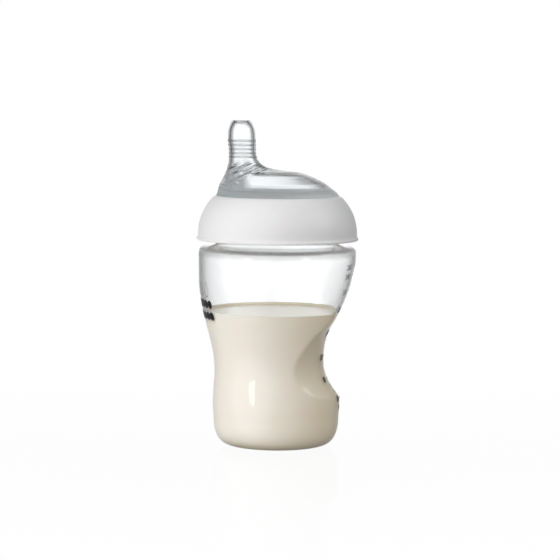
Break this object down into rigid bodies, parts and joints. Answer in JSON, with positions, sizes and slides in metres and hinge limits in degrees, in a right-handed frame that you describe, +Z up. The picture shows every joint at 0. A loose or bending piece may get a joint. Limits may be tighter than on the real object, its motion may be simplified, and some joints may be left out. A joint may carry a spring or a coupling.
{
  "type": "baby bottle",
  "caption": "Wide-neck baby feeding bottle with a waisted clear body and thumb grip, domed screw ring, off-centre soft teat and milk inside.",
  "frame": {"origin": "on the neck's axis, at the height of the table the bottle stands on", "axes": "+Z up along the neck's axis, +X towards the thumb grip, -X towards the teat's tip"},
  "size_m": [0.0808, 0.0808, 0.1618],
  "materials": {
    "clear_body": "clear moulded polypropylene, polished",
    "milk": "opaque cream liquid with a smooth surface",
    "clear_silicone": "clear silicone rubber, glossy",
    "white_ring": "white moulded polypropylene, satin"
  },
  "bodies": {
    "bottle": {"bottle_body": "clear_body", "milk": "milk"},
    "teat": {"teat": "clear_silicone"},
    "ring": {"screw_ring": "white_ring"}
  },
  "joints": [
    {"name": "teat_lift", "type": "slide", "parent": "bottle", "child": "teat", "axis": [0, 0, 1], "range_m": [0, 0.01801]},
    {"name": "ring_turn", "type": "hinge", "parent": "teat", "child": "ring", "pos_m": [0, 0, 0.11], "axis": [0, 0, 1], "range_deg": [0, 720]}
  ],
  "couplings": [
    {"joint": "teat_lift", "follows": "ring_turn", "m_per_rad": 0.0014324}
  ]
}
